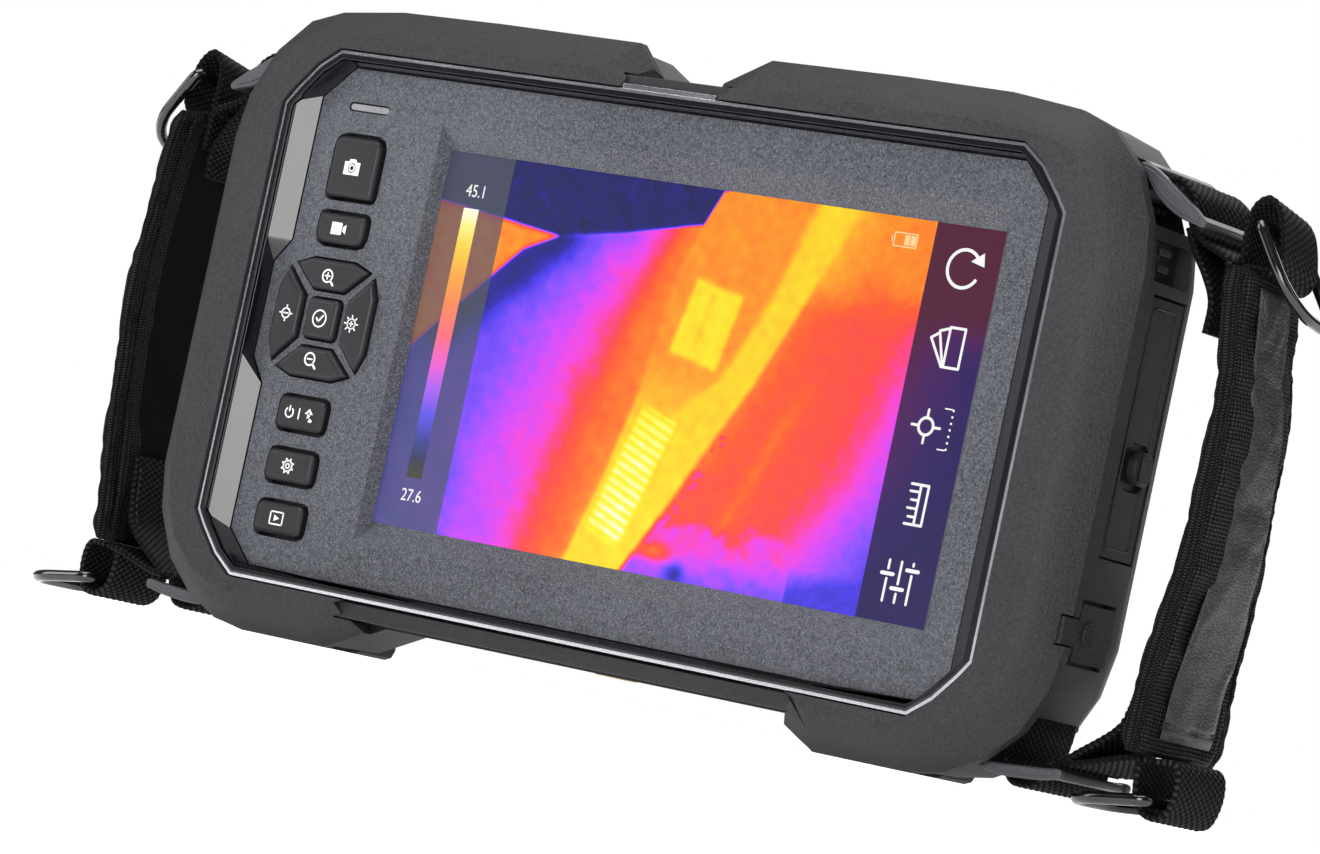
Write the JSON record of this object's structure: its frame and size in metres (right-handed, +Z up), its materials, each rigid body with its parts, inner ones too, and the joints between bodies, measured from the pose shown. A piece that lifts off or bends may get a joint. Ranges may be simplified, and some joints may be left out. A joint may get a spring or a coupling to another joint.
{
  "type": "handheld thermal imaging videoscope display",
  "caption": "Rugged handheld thermal imaging display unit with a screen, side key column, rubber bumpers, port door and a padded hand strap on each side.",
  "frame": {"origin": "centre of the overall box at its base, on the plane the unit stands on", "axes": "+Z up along the screen, +X to the viewer's right, +Y away from the viewer, so the screen faces -Y"},
  "size_m": [0.3362, 0.0584, 0.149],
  "materials": {
    "textured_panel": "speckled fine texture",
    "gloss_black": "piano gloss",
    "chrome_trim": "polished",
    "dark_plastic": "fine texture",
    "rubber": "fine grained soft-touch",
    "silicone": "matt",
    "screen_glass": "glass front",
    "steel": "plain",
    "circuit_board": "solder mask",
    "key_plastic": "satin",
    "battery_wrap": "satin",
    "brass": "turned",
    "strap_fabric": "woven nylon",
    "strap_leather": "grained",
    "webbing": "woven nylon webbing",
    "buckle_plastic": "satin",
    "black_metal": "gloss black"
  },
  "bodies": {
    "unit": {"front_panel": "textured_panel", "gloss_trim": "gloss_black", "chrome_ring": "chrome_trim", "front_housing": "dark_plastic", "bumper_left": "rubber", "bumper_right": "rubber", "rear_housing": "dark_plastic", "housing_seal": "silicone", "touch_glass": "screen_glass", "lcd_module": "steel", "keypad_mat": "silicone", "keypad_board": "circuit_board", "main_board": "circuit_board", "processor_shield": "steel", "port_block": "steel", "side_catch": "steel", "service_jack": "steel", "battery_pack": "battery_wrap", "stand_bracket_left": "steel", "stand_bracket_right": "steel", "tripod_insert": "brass", "probe_socket": "steel", "speaker": "steel", "light_bar": "screen_glass", "rear_screw_1": "steel", "rear_screw_2": "steel", "rear_screw_3": "steel", "rear_screw_4": "steel", "strap_pad_left": "strap_fabric", "strap_leather_left": "strap_leather", "strap_web_top_left": "webbing", "tri_glide_top_left": "buckle_plastic", "strap_web_bottom_left": "webbing", "tri_glide_bottom_left": "buckle_plastic", "strap_pad_right": "strap_fabric", "strap_leather_right": "strap_leather", "strap_web_top_right": "webbing", "tri_glide_top_right": "buckle_plastic", "strap_web_bottom_right": "webbing", "tri_glide_bottom_right": "buckle_plastic"},
    "key_capture_body": {"key_capture": "key_plastic"},
    "key_video_body": {"key_video": "key_plastic"},
    "key_zoom_in_body": {"key_zoom_in": "key_plastic"},
    "key_target_body": {"key_target": "key_plastic"},
    "key_ok_body": {"key_ok": "key_plastic"},
    "key_brightness_body": {"key_brightness": "key_plastic"},
    "key_zoom_out_body": {"key_zoom_out": "key_plastic"},
    "key_power_back_body": {"key_power_back": "key_plastic"},
    "key_settings_body": {"key_settings": "key_plastic"},
    "key_playback_body": {"key_playback": "key_plastic"},
    "port_door_body": {"port_door": "dark_plastic"},
    "door_knob_body": {"door_latch_knob": "key_plastic"},
    "plug_flap_body": {"plug_flap": "rubber"},
    "battery_cover_body": {"battery_cover": "dark_plastic"},
    "battery_latch_body": {"battery_latch": "key_plastic"},
    "kickstand_body": {"kickstand": "dark_plastic"},
    "ring_top_right_body": {"ring_top_right": "black_metal"},
    "ring_bottom_right_body": {"ring_bottom_right": "black_metal"},
    "ring_top_left_body": {"ring_top_left": "black_metal"},
    "ring_bottom_left_body": {"ring_bottom_left": "black_metal"}
  },
  "joints": [
    {"name": "key_capture_press", "type": "slide", "parent": "unit", "child": "key_capture_body", "axis": [0, 1, 0], "range_m": [0, 0.001], "stiffness_N_per_m": 500},
    {"name": "key_video_press", "type": "slide", "parent": "unit", "child": "key_video_body", "axis": [0, 1, 0], "range_m": [0, 0.001], "stiffness_N_per_m": 500},
    {"name": "key_zoom_in_press", "type": "slide", "parent": "unit", "child": "key_zoom_in_body", "axis": [0, 1, 0], "range_m": [0, 0.001], "stiffness_N_per_m": 500},
    {"name": "key_target_press", "type": "slide", "parent": "unit", "child": "key_target_body", "axis": [0, 1, 0], "range_m": [0, 0.001], "stiffness_N_per_m": 500},
    {"name": "key_ok_press", "type": "slide", "parent": "unit", "child": "key_ok_body", "axis": [0, 1, 0], "range_m": [0, 0.001], "stiffness_N_per_m": 500},
    {"name": "key_brightness_press", "type": "slide", "parent": "unit", "child": "key_brightness_body", "axis": [0, 1, 0], "range_m": [0, 0.001], "stiffness_N_per_m": 500},
    {"name": "key_zoom_out_press", "type": "slide", "parent": "unit", "child": "key_zoom_out_body", "axis": [0, 1, 0], "range_m": [0, 0.001], "stiffness_N_per_m": 500},
    {"name": "key_power_back_press", "type": "slide", "parent": "unit", "child": "key_power_back_body", "axis": [0, 1, 0], "range_m": [0, 0.001], "stiffness_N_per_m": 500},
    {"name": "key_settings_press", "type": "slide", "parent": "unit", "child": "key_settings_body", "axis": [0, 1, 0], "range_m": [0, 0.001], "stiffness_N_per_m": 500},
    {"name": "key_playback_press", "type": "slide", "parent": "unit", "child": "key_playback_body", "axis": [0, 1, 0], "range_m": [0, 0.001], "stiffness_N_per_m": 500},
    {"name": "port_door_hinge", "type": "hinge", "parent": "unit", "child": "port_door_body", "pos_m": [0.13084, -0.01435, 0.0817], "axis": [0, 0, -1], "range_deg": [0, 100]},
    {"name": "door_knob_turn", "type": "hinge", "parent": "port_door_body", "child": "door_knob_body", "pos_m": [0.13125, -0.00585, 0.0736], "axis": [1, 0, 0], "range_deg": [0, 90]},
    {"name": "plug_flap_hinge", "type": "hinge", "parent": "unit", "child": "plug_flap_body", "pos_m": [0.13165, -0.02315, 0.0363], "axis": [0, 0, -1], "range_deg": [0, 48]},
    {"name": "battery_cover_lift", "type": "slide", "parent": "unit", "child": "battery_cover_body", "axis": [0, 1, 0], "range_m": [0, 0.02]},
    {"name": "battery_latch_slide", "type": "slide", "parent": "battery_cover_body", "child": "battery_latch_body", "axis": [0, 0, 1], "range_m": [0, 0.0034]},
    {"name": "kickstand_hinge", "type": "hinge", "parent": "unit", "child": "kickstand_body", "pos_m": [-0.03426, 0.02655, 0.1139], "axis": [1, 0, 0], "range_deg": [0, 40]},
    {"name": "ring_top_right_swing", "type": "hinge", "parent": "unit", "child": "ring_top_right_body", "pos_m": [0.15524, -0.00265, 0.1285], "axis": [0, -1, 0], "range_deg": [-10, 100]},
    {"name": "ring_bottom_right_swing", "type": "hinge", "parent": "unit", "child": "ring_bottom_right_body", "pos_m": [0.15515, -0.00265, 0.0047], "axis": [0, 1, 0], "range_deg": [-85, 4]},
    {"name": "ring_top_left_swing", "type": "hinge", "parent": "unit", "child": "ring_top_left_body", "pos_m": [-0.14675, -0.00265, 0.1285], "axis": [0, 1, 0], "range_deg": [-10, 100]},
    {"name": "ring_bottom_left_swing", "type": "hinge", "parent": "unit", "child": "ring_bottom_left_body", "pos_m": [-0.14666, -0.00265, 0.0047], "axis": [0, 1, 0], "range_deg": [-85, 60]}
  ]
}
